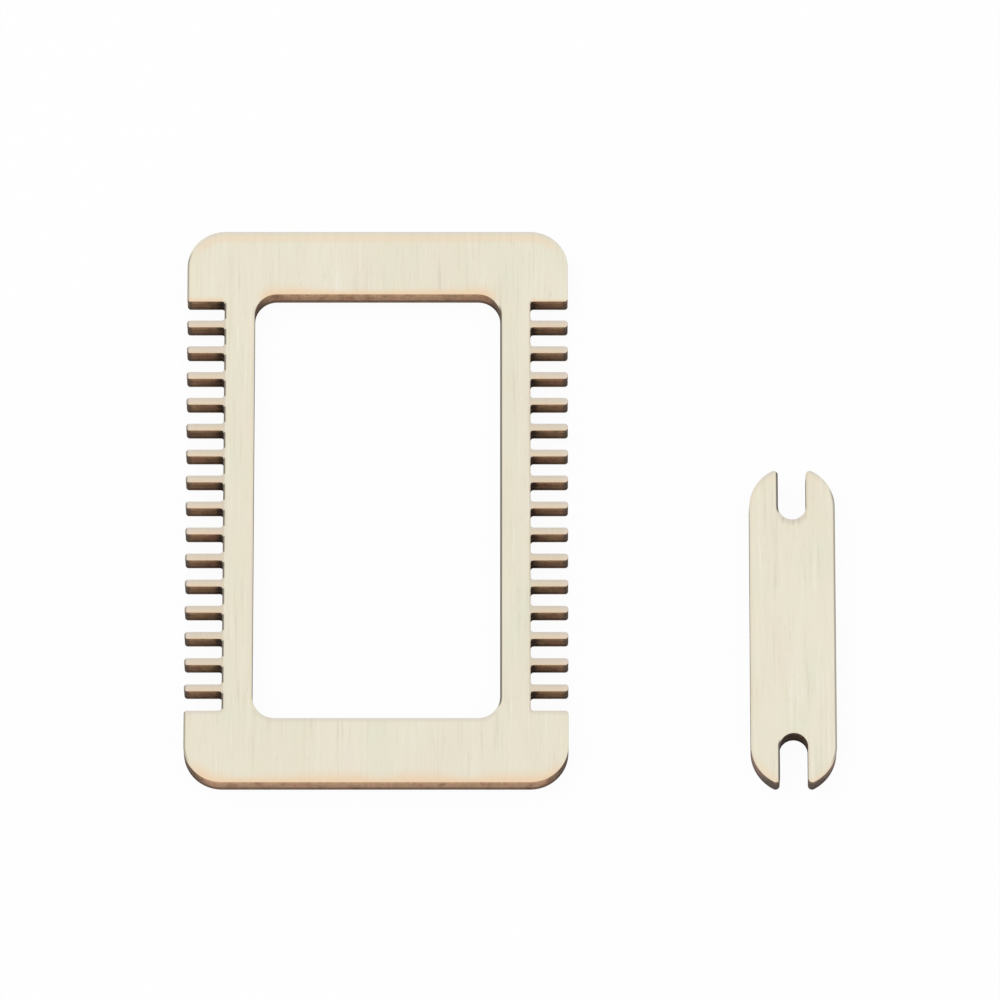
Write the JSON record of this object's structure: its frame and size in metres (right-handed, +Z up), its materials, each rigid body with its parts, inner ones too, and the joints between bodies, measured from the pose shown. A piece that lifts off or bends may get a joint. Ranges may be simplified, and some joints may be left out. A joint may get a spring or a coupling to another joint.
{
  "type": "mini comb loom with stick shuttle",
  "caption": "Small flat comb loom in three-ply plywood: a rounded frame round a weaving window, with a row of notches down each long side, and a stick shuttle forked at both ends.",
  "frame": {"origin": "on the table under the middle of the outline of the whole set, loom and shuttle as they lie in the picture", "axes": "+X from the loom to the shuttle, across the loom; +Y along the combs and the shuttle; +Z up through the board, out of the face veneers"},
  "size_m": [0.1018, 0.091, 0.004],
  "materials": {
    "face_veneer": "bare pale veneer, fine grain along Y",
    "core_veneer": "laser-browned cut edge, grain along X",
    "back_veneer": "bare pale veneer, fine grain along Y"
  },
  "bodies": {
    "loom_frame": {"frame_face_veneer": "face_veneer", "frame_core_veneer": "core_veneer", "frame_back_veneer": "back_veneer"},
    "shuttle": {"shuttle_face_veneer": "face_veneer", "shuttle_core_veneer": "core_veneer", "shuttle_back_veneer": "back_veneer"}
  },
  "joints": [
    {"name": "shuttle_lift", "type": "slide", "parent": "loom_frame", "child": "shuttle", "axis": [0, 0, 1], "range_m": [0, 0.04]}
  ]
}
